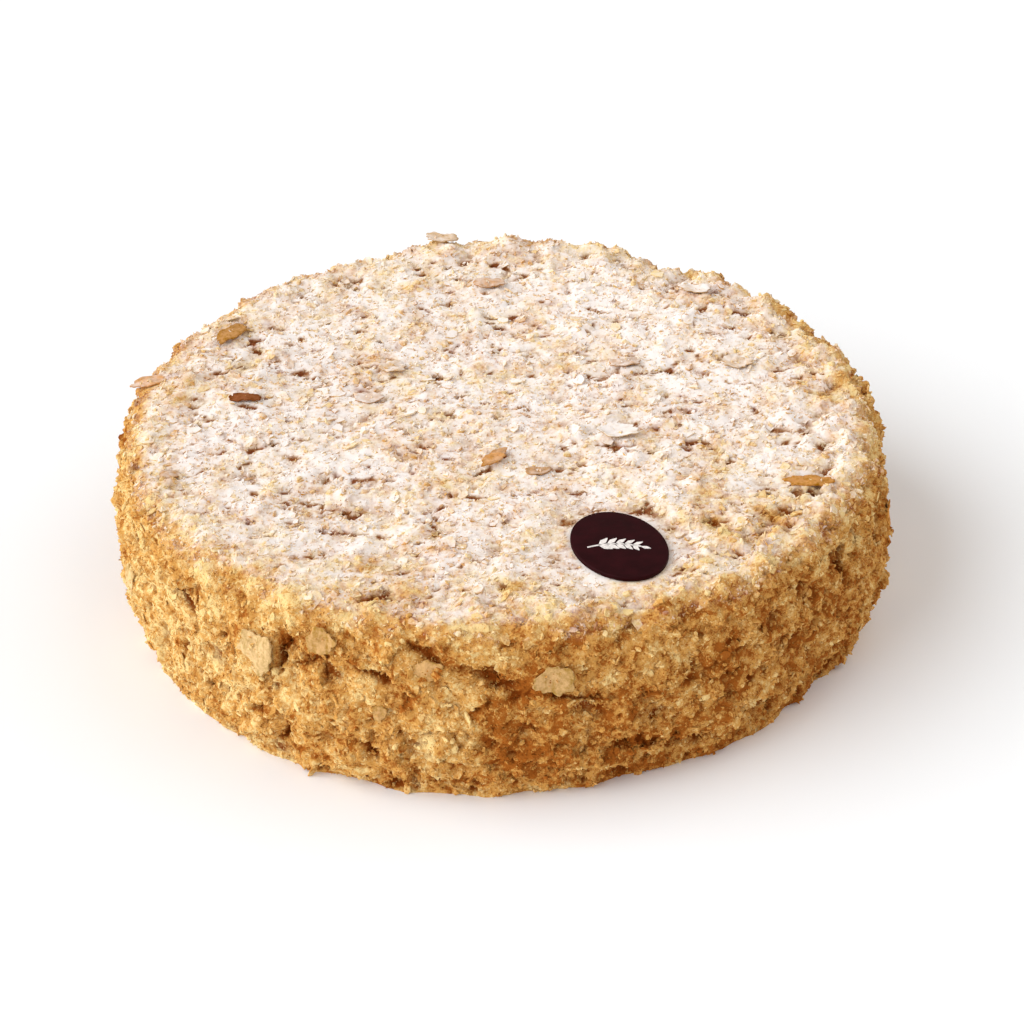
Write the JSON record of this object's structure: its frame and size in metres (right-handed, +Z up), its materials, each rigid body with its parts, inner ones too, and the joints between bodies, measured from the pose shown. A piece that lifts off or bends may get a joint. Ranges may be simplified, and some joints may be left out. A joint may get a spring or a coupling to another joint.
{
  "type": "napoleon cake",
  "caption": "Round uncut napoleon cake coated in golden pastry crumbs and dusted with icing sugar, with an oval dark chocolate plaque lying on top.",
  "frame": {"origin": "on the flat underside, under the middle of the bounding box", "axes": "+Z up through the cake's middle, -Y towards the side that was seen best, with the plaque near it"},
  "size_m": [0.2434, 0.24, 0.0645],
  "materials": {
    "crumb_crust": "dry, matt, coarse golden crumbs, with icing sugar on the top",
    "dark_chocolate": "smooth satin dark chocolate with a small cream-white printed sprig"
  },
  "bodies": {
    "root": {"cake": "crumb_crust", "plaque": "dark_chocolate"}
  },
  "joints": []
}
